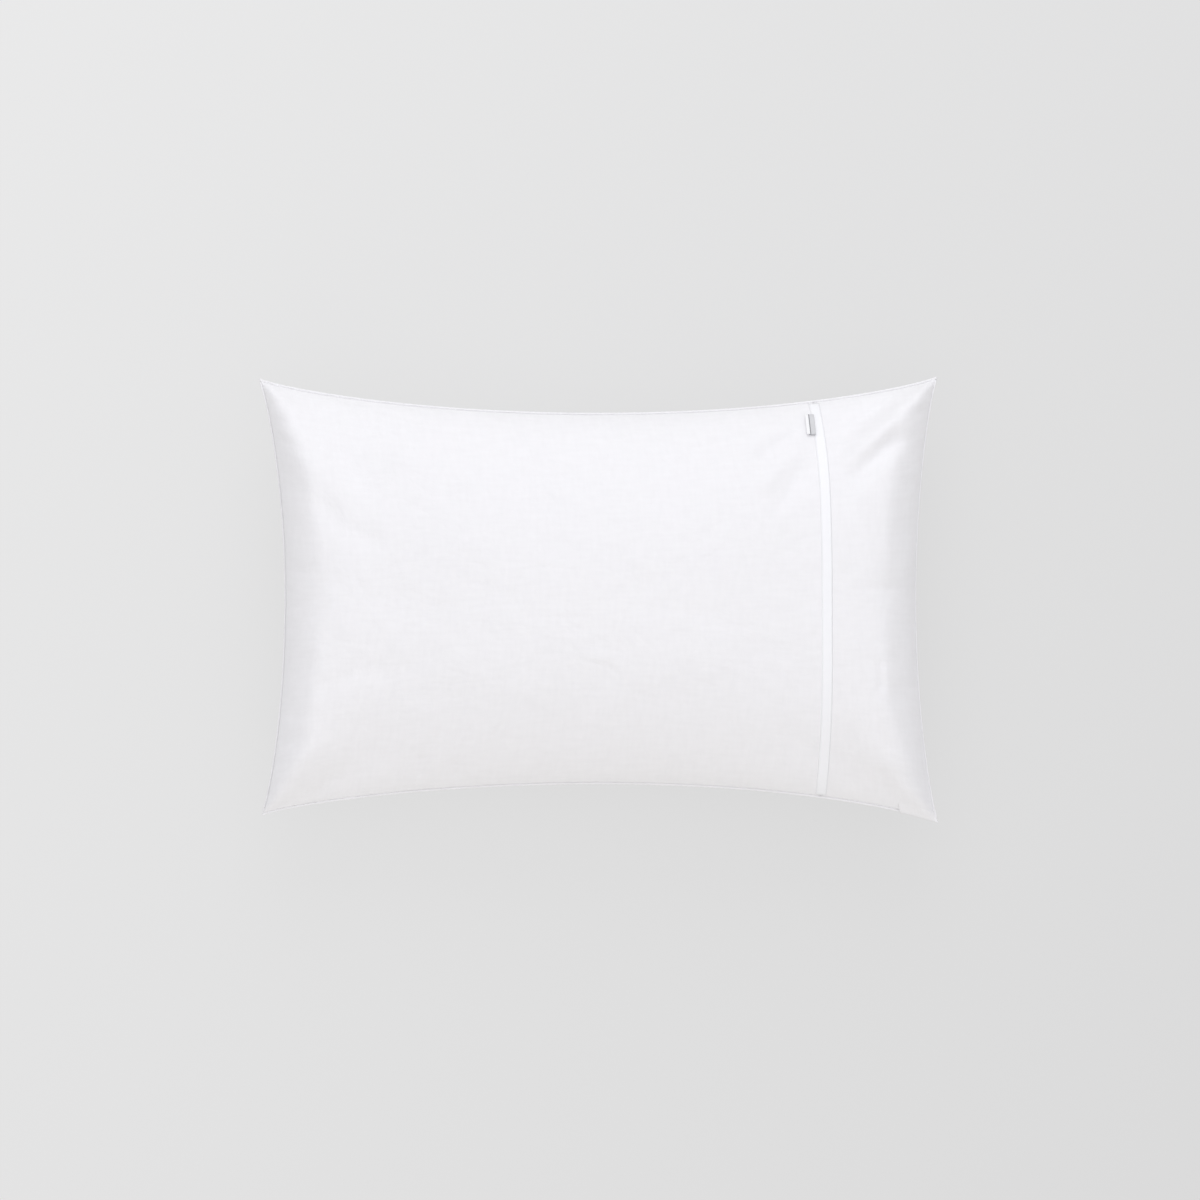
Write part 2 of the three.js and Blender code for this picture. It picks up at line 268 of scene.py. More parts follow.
@dataclass(frozen=True)
class Blow:
    """How a bag is blown up as cloth."""

    pressure: float
    frames: int
    cells_long: int = 92
    cells_wide: int = 60
    tension: float = 60.0
    bending: float = 2.0

    def run(self, plan: BagPlan) -> tuple[Array, Array]:
        """Blow up two cloths that are sewn together on all four sides.

        Args:
            plan: the bag's outline and flat size.

        Returns:
            The front's and the back's points, each as rows across and columns along.
        """
        cloth, marks = self.sew(plan)
        scene = bpy.context.scene
        for step in range(1, self.frames + 1):
            scene.frame_set(step)
        depsgraph = bpy.context.evaluated_depsgraph_get()
        blown = cloth.evaluated_get(depsgraph)
        points = np.array([vert.co[:] for vert in blown.data.vertices])
        front = np.zeros((self.cells_wide + 1, self.cells_long + 1, 3))
        back = np.zeros_like(front)
        column = np.rint((marks[:, 0] + 1) / 2 * self.cells_long).astype(int)
        row = np.rint((marks[:, 1] + 1) / 2 * self.cells_wide).astype(int)
        edge = np.maximum(np.abs(marks[:, 0]), np.abs(marks[:, 1])) > SEWN_EDGE
        on_front = (marks[:, 2] > 0) | edge
        on_back = (marks[:, 2] < 0) | edge
        front[row[on_front], column[on_front]] = points[on_front]
        back[row[on_back], column[on_back]] = points[on_back]
        mesh = cloth.data
        bpy.data.objects.remove(cloth)
        bpy.data.meshes.remove(mesh)
        scene.frame_set(1)
        return front, back

    def sew(self, plan: BagPlan) -> tuple[Piece, Array]:
        """Make the sewn cloth object and give it its cloth settings.

        Args:
            plan: the bag's outline and flat size.

        Returns:
            The object, and each point's place along, across and side.
        """
        work = bmesh.new()
        layer = work.verts.layers.float_vector.new("place")
        front, back = twin_grids(work, self.cells_long, self.cells_wide)
        for side, verts in ((Side.FRONT, front), (Side.BACK, back)):
            s = np.array([2 * vert.co.x for vert in verts])
            t = np.array([2 * vert.co.y for vert in verts])
            form = plan.start_form(s, t, side)
            for index, vert in enumerate(verts):
                vert[layer] = Vector((s[index], t[index], side.value))
                vert.co = Vector(form[index])
        bmesh.ops.remove_doubles(work, verts=work.verts, dist=1e-6)
        marks = np.array([vert[layer][:] for vert in work.verts])
        mesh = bpy.data.meshes.new("blown_cloth")
        work.to_mesh(mesh)
        work.free()
        cloth = bpy.data.objects.new("blown_cloth", mesh)
        bpy.context.scene.collection.objects.link(cloth)
        cloth.shape_key_add(name="Basis")
        flat = cloth.shape_key_add(name="flat_cloth")
        pins = cloth.vertex_groups.new(name="ears")
        for index, (s, t, side) in enumerate(marks):
            inside = max(abs(s), abs(t)) < SEWN_EDGE
            lift = side * 0.0005 if inside else 0.0
            flat.data[index].co = Vector((s * plan.flat_length / 2, t * plan.flat_width / 2, lift))
            if abs(s) > 0.999 and abs(t) > 0.999:
                pins.add([index], 1.0, "REPLACE")
        self.drape(cloth, flat)
        return cloth, marks

    def drape(self, cloth: Piece, flat: bpy.types.ShapeKey) -> None:
        """Give the sewn bag its cloth settings.

        Args:
            cloth: the sewn bag.
            flat: the shape it was cut to.
        """
        blow = cloth.modifiers.new("blow", "CLOTH")
        cfg = blow.settings
        cfg.quality = 6
        cfg.mass = 0.15
        cfg.tension_stiffness = self.tension
        cfg.compression_stiffness = 6.0
        cfg.shear_stiffness = 5.0
        cfg.bending_stiffness = self.bending
        cfg.tension_damping = 10.0
        cfg.compression_damping = 10.0
        cfg.shear_damping = 10.0
        cfg.air_damping = 2.0
        cfg.use_pressure = True
        cfg.uniform_pressure_force = self.pressure
        cfg.vertex_group_mass = "ears"
        cfg.pin_stiffness = 50
        cfg.rest_shape_key = flat
        cfg.effector_weights.gravity = 0
        blow.collision_settings.use_collision = False
        blow.point_cache.frame_start = 1
        blow.point_cache.frame_end = self.frames
        bpy.context.scene.frame_start = 1
        bpy.context.scene.frame_end = self.frames


class Skin:
    """One cloth's surface, read at any place on it."""

    def __init__(self, points: Array, side: Side) -> None:
        """Keep the points and work out which way is out.

        Args:
            points: rows across and columns along.
            side: which of the two cloths.
        """
        self.points = points
        along = np.gradient(points, axis=1)
        across = np.gradient(points, axis=0)
        out = np.cross(along, across) * side.value
        self.outward = out / np.maximum(np.linalg.norm(out, axis=-1, keepdims=True), 1e-12)

    def at(self, s: Array, t: Array, lift: float | Array = 0.0) -> Array:
        """Points on the surface or a little off it.

        Args:
            s: places along, from -1 to 1.
            t: places across, from -1 to 1.
            lift: how far off the surface, outwards, in metres.

        Returns:
            The points, in metres.
        """
        return cubic_read(self.points, s, t) + self.normal(s, t) * np.asarray(lift)[..., None]

    def normal(self, s: Array, t: Array) -> Array:
        """Unit vectors that point out of the cloth."""
        out = cubic_read(self.outward, s, t)
        return out / np.maximum(np.linalg.norm(out, axis=-1, keepdims=True), 1e-12)


def cubic_read(grid: Array, s: Array, t: Array) -> Array:
    """Read a grid of vectors smoothly between its points.

    Args:
        grid: rows across and columns along.
        s: places along, from -1 to 1.
        t: places across, from -1 to 1.

    Returns:
        The vectors there.
    """
    rows, columns = grid.shape[:2]
    x = np.clip((s + 1) / 2 * (columns - 1), 0, columns - 1)
    y = np.clip((t + 1) / 2 * (rows - 1), 0, rows - 1)
    column = np.minimum(x.astype(int), columns - 2)
    row = np.minimum(y.astype(int), rows - 2)
    weights_x = spline_weights(x - column)
    weights_y = spline_weights(y - row)
    total = np.zeros(s.shape + (3,))
    for j in range(4):
        for i in range(4):
            take = grid[np.clip(row + j - 1, 0, rows - 1), np.clip(column + i - 1, 0, columns - 1)]
            total += take * (weights_y[j] * weights_x[i])[..., None]
    return total


def refine(points: Array, times: int) -> Array:
    """Make a grid of points finer, so that narrow folds fit on it.

    Args:
        points: rows across and columns along.
        times: how many new cells for each old one.

    Returns:
        The finer grid.
    """
    rows, columns = points.shape[:2]
    s, t = np.meshgrid(
        np.linspace(-1, 1, (columns - 1) * times + 1), np.linspace(-1, 1, (rows - 1) * times + 1)
    )
    return cubic_read(points, s, t)


def spline_weights(part: Array) -> tuple[Array, ...]:
    """Weights of the four points round a place.

    Args:
        part: how far the place is between the two middle points.

    Returns:
        The four weights.
    """
    square = part * part
    cube = square * part
    return (
        -0.5 * cube + square - 0.5 * part,
        1.5 * cube - 2.5 * square + 1,
        -1.5 * cube + 2 * square + 0.5 * part,
        0.5 * cube - 0.5 * square,
    )


# ---------------------------------------------------------------- mesh helpers


def twin_grids(
    work: bmesh.types.BMesh, long: int, wide: int
) -> tuple[list[bmesh.types.BMVert], list[bmesh.types.BMVert]]:
    """Two flat grids in one place that face away from each other.

    Args:
        work: the mesh that they are made in.
        long: cells along.
        wide: cells across.

    Returns:
        The upper grid's points and the lower grid's.
    """
    bmesh.ops.create_grid(work, x_segments=long, y_segments=wide, size=0.5)
    front = work.verts[:]
    twin = bmesh.ops.duplicate(work, geom=work.verts[:] + work.edges[:] + work.faces[:])["geom"]
    back = [part for part in twin if isinstance(part, bmesh.types.BMVert)]
    faces = [part for part in twin if isinstance(part, bmesh.types.BMFace)]
    bmesh.ops.reverse_faces(work, faces=faces)
    return front, back


def run_along(points: Array) -> Array:
    """Distance along a line at each of its points."""
    return np.concatenate([[0.0], np.cumsum(np.linalg.norm(np.diff(points, axis=0), axis=1))])


def cloth_patch(
    name: str,
    place: Place,
    cells: tuple[int, int],
    flat: tuple[float, float],
    thickness: float = 0.0008,
    flip: bool = False,
) -> Piece:
    """One sheet of cloth from a grid laid on a surface.

    Args:
        name: the piece's name.
        place: gives points for two arrays that run from 0 to 1.
        cells: grid cells along and across.
        flat: the sheet's flat size in metres, for its own UV map.
        thickness: the cloth's thickness in metres.
        flip: turns the faces round, for a cloth that faces down.

    Returns:
        The finished piece.
    """
    work = bmesh.new()
    uv_layer = work.loops.layers.uv.new("cloth")
    bmesh.ops.create_grid(work, x_segments=cells[0], y_segments=cells[1], size=0.5)
    verts = work.verts[:]
    a = np.array([vert.co.x + 0.5 for vert in verts])
    b = np.array([vert.co.y + 0.5 for vert in verts])
    for face in work.faces:
        for loop in face.loops:
            co = loop.vert.co
            loop[uv_layer].uv = ((co.x + 0.5) * flat[0], (co.y + 0.5) * flat[1])
    for vert, point in zip(verts, place(a, b)):
        vert.co = Vector(point)
    if flip:
        bmesh.ops.reverse_faces(work, faces=work.faces[:])
    piece = keep_mesh(name, work)
    shell = piece.modifiers.new("cloth_thickness", "SOLIDIFY")
    shell.thickness = thickness
    shell.offset = -1.0
    return piece


def keep_mesh(name: str, work: bmesh.types.BMesh, smooth: bool = True) -> Piece:
    """Turn a finished bmesh into a linked piece.

    Args:
        name: the piece's name.
        work: the mesh, which is freed.
        smooth: whether its faces shade smoothly.

    Returns:
        The piece.
    """
    mesh = bpy.data.meshes.new(name)
    work.to_mesh(mesh)
    work.free()
    for face in mesh.polygons:
        face.use_smooth = smooth
    piece = bpy.data.objects.new(name, mesh)
    bpy.context.scene.collection.objects.link(piece)
    return piece


def tube_along(name: str, path: Array, radius: Array, sides: int = 10) -> Piece:
    """A closed round bead along a path.

    Args:
        name: the piece's name.
        path: the points it follows.
        radius: its radius at each point.
        sides: faces round it.

    Returns:
        The piece.
    """
    count = len(path)
    ahead = np.gradient(path, axis=0)
    ahead /= np.linalg.norm(ahead, axis=1, keepdims=True)
    flat = np.cross(ahead, np.array([0.0, 0.0, 1.0]))
    flat /= np.linalg.norm(flat, axis=1, keepdims=True)
    rise = np.cross(flat, ahead)
    run = run_along(path)
    work = bmesh.new()
    uv_layer = work.loops.layers.uv.new("cloth")
    bmesh.ops.create_grid(work, x_segments=count - 1, y_segments=sides, size=0.5)
    for face in work.faces:
        for loop in face.loops:
            index = int(round((loop.vert.co.x + 0.5) * (count - 1)))
            loop[uv_layer].uv = (run[index], (loop.vert.co.y + 0.5) * 0.007)
    for vert in work.verts:
        index = int(round((vert.co.x + 0.5) * (count - 1)))
        turn = (vert.co.y + 0.5) * 2 * math.pi
        ring = math.cos(turn) * flat[index] + math.sin(turn) * rise[index]
        vert.co = Vector(path[index] + radius[index] * ring)
    bmesh.ops.remove_doubles(work, verts=work.verts, dist=1e-6)
    open_edges = [edge for edge in work.edges if edge.is_boundary]
    bmesh.ops.holes_fill(work, edges=open_edges, sides=0)
    bmesh.ops.recalc_face_normals(work, faces=work.faces)
    return keep_mesh(name, work)


def stitch_row(
    name: str, points: Array, normals: Array, pitch: float, length: float, radius: float
) -> Piece:
    """A row of separate thread stitches along a line.

    Args:
        name: the piece's name.
        points: the line, closely spaced.
        normals: which way is out along it.
        pitch: distance from one stitch to the next.
        length: a stitch's length.
        radius: the thread's radius.

    Returns:
        The piece.
    """
    run = run_along(points)
    work = bmesh.new()
    for step in range(int(run[-1] / pitch)):
        here = (step + 0.5) * pitch
        centre = Vector([float(np.interp(here, run, points[:, k])) for k in range(3)])
        ahead = Vector([float(np.interp(here + length / 2, run, points[:, k])) for k in range(3)])
        ahead = (ahead - centre).normalized()
        out = Vector([float(np.interp(here, run, normals[:, k])) for k in range(3)]).normalized()
        across = out.cross(ahead).normalized()
        out = ahead.cross(across)
        turn = Matrix((ahead, across, out)).transposed().to_4x4()
        size = Matrix.Diagonal((length / 2, radius, radius * 0.8, 1.0))
        place = Matrix.Translation(centre) @ turn @ size
        bmesh.ops.create_icosphere(work, subdivisions=1, radius=1.0, matrix=place)
    return keep_mesh(name, work)


def declare(piece: Piece, body: Body, finish: "Finish", nodes: Sequence[str] = ()) -> None:
    """Dress a piece and say what it rides on and stands for.

    Args:
        piece: the piece.
        body: the body it moves with.
        finish: what it is made of.
        nodes: the solids that it replaces.
    """
    piece.data.materials.clear()
    piece.data.materials.append(finish.material())
    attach(piece, body.value)
    if nodes:
        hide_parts(*nodes)
    log.info("%s: %d faces on %s", piece.name, len(piece.data.polygons), body.value)


def fit_outline(plan: BagPlan, points: Array, s: Array, t: Array) -> Array:
    """Bring a blown cloth's edges to its bag's outline.

    Args:
        plan: the bag's plan.
        points: the cloth.
        s: places along it.
        t: places across it.

    Returns:
        The fitted cloth.
    """
    fitted = points.copy()
    left = plan.reach_x(t[:, 0], -1) / np.abs(points[:, 0, 0])
    right = plan.reach_x(t[:, -1], 1) / np.abs(points[:, -1, 0])
    fitted[..., 0] *= np.where(s < 0, left[:, None], right[:, None]) * np.abs(s) ** 2 + (1 - np.abs(s) ** 2)
    upper = plan.reach_y(s[-1]) / np.abs(points[-1, :, 1])
    lower = plan.reach_y(s[0]) / np.abs(points[0, :, 1])
    fitted[..., 1] *= np.where(t < 0, lower[None, :], upper[None, :]) * np.abs(t) ** 2 + (1 - np.abs(t) ** 2)
    for sign_x, sign_y, dx, dy in plan.corners:
        near = np.clip(sign_x * s, 0, 1) ** 3 * np.clip(sign_y * t, 0, 1) ** 3
        fitted[..., 0] += near * dx
        fitted[..., 1] += near * dy
    fitted[..., 0] += plan.shift
    return fitted


def collapse(piece: Piece) -> None:
    """Give a piece of the case its own copy of its mesh.

    Args:
        piece: a piece of the case.
    """
    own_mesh(piece)


# ---------------------------------------------------------------- finishes


class NodeKit:
    """Short ways to add shader nodes to one tree."""

    def __init__(self, tree: Tree) -> None:
        """Keep the tree that nodes are added to."""
        self.tree = tree

    def add(self, kind: str, **values: object) -> Node:
        """Add a node and set its own properties.

        Args:
            kind: the node's type name.
            values: its properties.

        Returns:
            The node.
        """
        node = self.tree.nodes.new(kind)
        for key, value in values.items():
            setattr(node, key, value)
        return node

    def feed(self, socket: Socket, value: object) -> None:
        """Link a socket or set its value.

        Args:
            socket: the input.
            value: another socket, or a number.
        """
        if isinstance(value, Socket):
            self.tree.links.new(value, socket)
        else:
            socket.default_value = value

    def maths(self, operation: str, *inputs: object) -> Socket:
        """Add a Math node.

        Args:
            operation: what it works out.
            inputs: sockets or numbers.

        Returns:
            Its result.
        """
        node = self.add("ShaderNodeMath", operation=operation)
        for index, value in enumerate(inputs):
            self.feed(node.inputs[index], value)
        return node.outputs[0]

    def mix(self, share: object, first: object, second: object) -> Socket:
        """Add a colour Mix node.

        Args:
            share: how much of the second colour.
            first: a colour or a socket.
            second: a colour or a socket.

        Returns:
            The mixed colour.
        """
        node = self.add("ShaderNodeMix", data_type="RGBA")
        self.feed(node.inputs[0], share)
        self.feed(node.inputs[6], first)
        self.feed(node.inputs[7], second)
        return node.outputs[2]


def new_group(
    name: str, inputs: Sequence[tuple[str, str, object]], output: str
) -> tuple[Tree, NodeKit, Node, Node]:
    """Start a shared effect as a node group.

    Args:
        name: the group's name.
        inputs: name, socket type and default of each input.
        output: the name of its one value output.

    Returns:
        The tree, its helper, and its input and output nodes.
    """
    tree = bpy.data.node_groups.new(name, "ShaderNodeTree")
    for label, kind, default in inputs:
        socket = tree.interface.new_socket(name=label, in_out="INPUT", socket_type=kind)
        if default is not None:
            socket.default_value = default
    tree.interface.new_socket(name=output, in_out="OUTPUT", socket_type="NodeSocketFloat")
    kit = NodeKit(tree)
    return tree, kit, kit.add("NodeGroupInput"), kit.add("NodeGroupOutput")


def weave_group(weave: Weave) -> Tree:
    """Threads crossing at a given pitch.

    Args:
        weave: how they cross.

    Returns:
        The group, whose Height runs from 0 to 1.
    """
    known = bpy.data.node_groups.get(weave.value)
    if known:
        return known
    inputs = (("Vector", "NodeSocketVector", None), ("Pitch", "NodeSocketFloat", 0.0004))
    tree, kit, source, target = new_group(weave.value, inputs, "Height")
    split = kit.add("ShaderNodeSeparateXYZ")
    kit.feed(split.inputs[0], source.outputs["Vector"])
    turn = kit.maths("DIVIDE", 2 * math.pi, source.outputs["Pitch"])
    warp = kit.maths("MULTIPLY", split.outputs[0], turn)
    weft = kit.maths("MULTIPLY", split.outputs[1], turn)
    if weave is Weave.PLAIN:
        wave = kit.maths("MULTIPLY", kit.maths("SINE", warp), kit.maths("SINE", weft))
    elif weave is Weave.TWILL:
        wave = kit.maths("SINE", kit.maths("ADD", warp, weft))
    else:
        drift = kit.maths("MULTIPLY", kit.maths("SINE", kit.maths("MULTIPLY", weft, 0.2)), 0.6)
        wave = kit.maths("SINE", kit.maths("ADD", warp, drift))
    height = kit.maths("MULTIPLY_ADD", wave, 0.5, 0.5)
    kit.feed(target.inputs[0], height)
    return tree


def slub_group() -> Tree:
    """Uneven yarn: faint streaks along both threads.

    Returns:
        The group, whose Share runs from 0 to 1.
    """
    known = bpy.data.node_groups.get("slub_yarn")
    if known:
        return known
    inputs = (("Vector", "NodeSocketVector", None), ("Scale", "NodeSocketFloat", 90.0))
    tree, kit, source, target = new_group("slub_yarn", inputs, "Share")
    streaks = []
    for stretch in ((0.22, 1.0, 1.0), (1.0, 0.22, 1.0)):
        turned = kit.add("ShaderNodeVectorMath", operation="MULTIPLY")
        kit.feed(turned.inputs[0], source.outputs["Vector"])
        turned.inputs[1].default_value = stretch
        noise = kit.add("ShaderNodeTexNoise")
        kit.feed(noise.inputs["Vector"], turned.outputs[0])
        kit.feed(noise.inputs["Scale"], source.outputs["Scale"])
        noise.inputs["Detail"].default_value = 4.0
        streaks.append(noise.outputs[0])
    both = kit.maths("ADD", streaks[0], streaks[1])
    spread = kit.add("ShaderNodeMapRange")
    kit.feed(spread.inputs["Value"], both)
    spread.inputs["From Min"].default_value = 0.72
    spread.inputs["From Max"].default_value = 1.28
    kit.feed(target.inputs[0], spread.outputs[0])
    return tree


def crumple_group() -> Tree:
    """Wide, shallow unevenness of washed cloth over loose filling.

    Returns:
        The group, whose Height runs from 0 to 1.
    """
    known = bpy.data.node_groups.get("washed_crumple")
    if known:
        return known
    inputs = (("Vector", "NodeSocketVector", None), ("Scale", "NodeSocketFloat", 16.0))
    tree, kit, source, target = new_group("washed_crumple", inputs, "Height")
    noise = kit.add("ShaderNodeTexNoise")
    kit.feed(noise.inputs["Vector"], source.outputs["Vector"])
    kit.feed(noise.inputs["Scale"], source.outputs["Scale"])
    noise.inputs["Detail"].default_value = 5.0
    noise.inputs["Roughness"].default_value = 0.45
    noise.inputs["Distortion"].default_value = 0.6
    kit.feed(target.inputs[0], noise.outputs[0])
    return tree


@dataclass(frozen=True)
class Finish:
    """A woven cloth or thread."""

    name: str
    colour: tuple[float, float, float]
    # The darker yarn tone. It is also painted into the weave's hollows as shade.
    shade: tuple[float, float, float]
    roughness: float = 0.9
    sheen: float = 0.12
    weave: Weave = Weave.PLAIN
    pitch: float = 0.0005
    weave_depth: float = 0.00004
    slub_scale: float = 90.0
    slub_depth: float = 0.00010
    crumple_scale: float = 16.0
    crumple_depth: float = 0.0008
    coat: float = 0.0

    def material(self) -> bpy.types.Material:
        """The cloth's material, made once.

        Returns:
            The material.
        """
        label = f"{self.name}_finish"
        known = bpy.data.materials.get(label)
        if known:
            return known
        made = bpy.data.materials.new(label)
        made.use_nodes = True
        kit = NodeKit(made.node_tree)
        shader = made.node_tree.nodes["Principled BSDF"]
        where = kit.add("ShaderNodeTexCoord").outputs["UV"]
        weave = self.placed(kit, weave_group(self.weave), where, "Pitch", self.pitch)
        slub = self.placed(kit, slub_group(), where, "Scale", self.slub_scale)
        crumple = self.placed(kit, crumple_group(), where, "Scale", self.crumple_scale)
        self.paint(kit, shader, where, weave, slub)
        height = kit.maths("MULTIPLY", weave, self.weave_depth)
        height = kit.maths("MULTIPLY_ADD", slub, self.slub_depth, height)
        height = kit.maths("MULTIPLY_ADD", crumple, self.crumple_depth, height)
        bump = kit.add("ShaderNodeBump")
        bump.inputs["Distance"].default_value = 1.0
        bump.inputs["Strength"].default_value = 1.0
        kit.feed(bump.inputs["Height"], height)
        kit.feed(shader.inputs["Normal"], bump.outputs[0])
        shader.inputs["Sheen Weight"].default_value = self.sheen
        shader.inputs["Sheen Roughness"].default_value = 0.5
        shader.inputs["Coat Weight"].default_value = self.coat
        return made

    def placed(self, kit: NodeKit, tree: Tree, where: Socket, label: str, value: float) -> Socket:
        """Place a shared effect in the material.

        Args:
            kit: the material's nodes.
            tree: the effect.
            where: the coordinates it reads.
            label: the name of its size input.
            value: that size.

        Returns:
            The effect's output.
        """
        node = kit.add("ShaderNodeGroup", node_tree=tree)
        kit.feed(node.inputs["Vector"], where)
        node.inputs[label].default_value = value
        return node.outputs[0]

    def paint(self, kit: NodeKit, shader: Node, where: Socket, weave: Socket, slub: Socket) -> None:
        """Feed colour and roughness.

        Args:
            kit: the material's nodes.
            shader: the surface shader.
            where: the cloth's coordinates.
            weave: the threads' height.
            slub: the yarn's unevenness.
        """
        # The slub's share is the yarn's own uneven tone. The weave's share darkens the colour where the
        # threads dip, which is painted shade in the weave's hollows.
        share = kit.maths("MULTIPLY_ADD", slub, 0.8, kit.maths("MULTIPLY", weave, 0.2))
        kit.feed(shader.inputs["Base Color"], kit.mix(share, (*self.shade, 1), (*self.colour, 1)))
        kit.feed(shader.inputs["Roughness"], kit.maths("MULTIPLY_ADD", slub, 0.08, self.roughness - 0.04))


@dataclass(frozen=True)
class TabFinish(Finish):
    """Folded satin with a pale border at its fold."""

    border: tuple[float, float, float] = (0.95, 0.95, 0.96)
    line: tuple[float, float, float] = (0.22, 0.22, 0.24)
    fold_at: float = 0.0090

    def paint(self, kit: NodeKit, shader: Node, where: Socket, weave: Socket, slub: Socket) -> None:
        """Feed the satin's colour, its border and a woven line beside it.

        Args:
            kit: the material's nodes.
            shader: the surface shader.
            where: the satin's coordinates.
            weave: the threads' height.
            slub: the yarn's unevenness.
        """
        split = kit.add("ShaderNodeSeparateXYZ")
        kit.feed(split.inputs[0], where)
        edge = kit.maths("ABSOLUTE", kit.maths("SUBTRACT", split.outputs[0], self.fold_at))
        border = kit.maths("LESS_THAN", edge, 0.0030)
        beside = kit.maths("LESS_THAN", kit.maths("ABSOLUTE", kit.maths("SUBTRACT", edge, 0.0035)), 0.0005)
        ground = kit.mix(slub, (*self.shade, 1), (*self.colour, 1))
        lined = kit.mix(beside, ground, (*self.line, 1))
        kit.feed(shader.inputs["Base Color"], kit.mix(border, lined, (*self.border, 1)))
        kit.feed(shader.inputs["Roughness"], kit.maths("MULTIPLY_ADD", weave, 0.1, self.roughness - 0.05))


CASE_COTTON = Finish("case_cotton", (0.933, 0.927, 0.946), (0.900, 0.894, 0.912), slub_scale=190.0,
                     slub_depth=0.00011, crumple_scale=15.0, crumple_depth=0.0042)
SATEEN = Finish("sateen_tape", (0.975, 0.978, 1.000), (0.952, 0.955, 0.980), roughness=0.58, sheen=0.25,
                weave=Weave.SATIN, pitch=0.0004, crumple_depth=0.0003)
THREAD = Finish("seam_thread", (0.950, 0.945, 0.960), (0.880, 0.875, 0.890), roughness=0.75,
                weave=Weave.TWILL, pitch=0.0006, crumple_depth=0.0001)
SATIN_TAB = TabFinish("satin_tab", (0.720, 0.725, 0.745), (0.620, 0.625, 0.645), roughness=0.42, sheen=0.3,
                      weave=Weave.SATIN, pitch=0.0004, crumple_depth=0.0001, slub_depth=0.00003)
LABEL_TAPE = Finish("label_tape", (0.930, 0.930, 0.940), (0.880, 0.880, 0.890), roughness=0.6,
                    weave=Weave.TWILL, pitch=0.0005, crumple_depth=0.0002)
TICKING = Finish("ticking", (0.860, 0.845, 0.800), (0.790, 0.772, 0.722), roughness=0.88,
                 weave=Weave.TWILL, pitch=0.0011, weave_depth=0.00012,
                 crumple_scale=22.0, crumple_depth=0.0026)
TICKING_PIPING = Finish("ticking_piping", (0.830, 0.812, 0.765), (0.745, 0.725, 0.675), roughness=0.85,
                        weave=Weave.TWILL, pitch=0.0012, weave_depth=0.00016, crumple_depth=0.0005)
FIBRE = Finish("fibre", (0.930, 0.930, 0.920), (0.820, 0.820, 0.810), roughness=1.0, sheen=0.35,
               slub_scale=140.0, slub_depth=0.0012, crumple_scale=60.0, crumple_depth=0.006)


# ---------------------------------------------------------------- the case


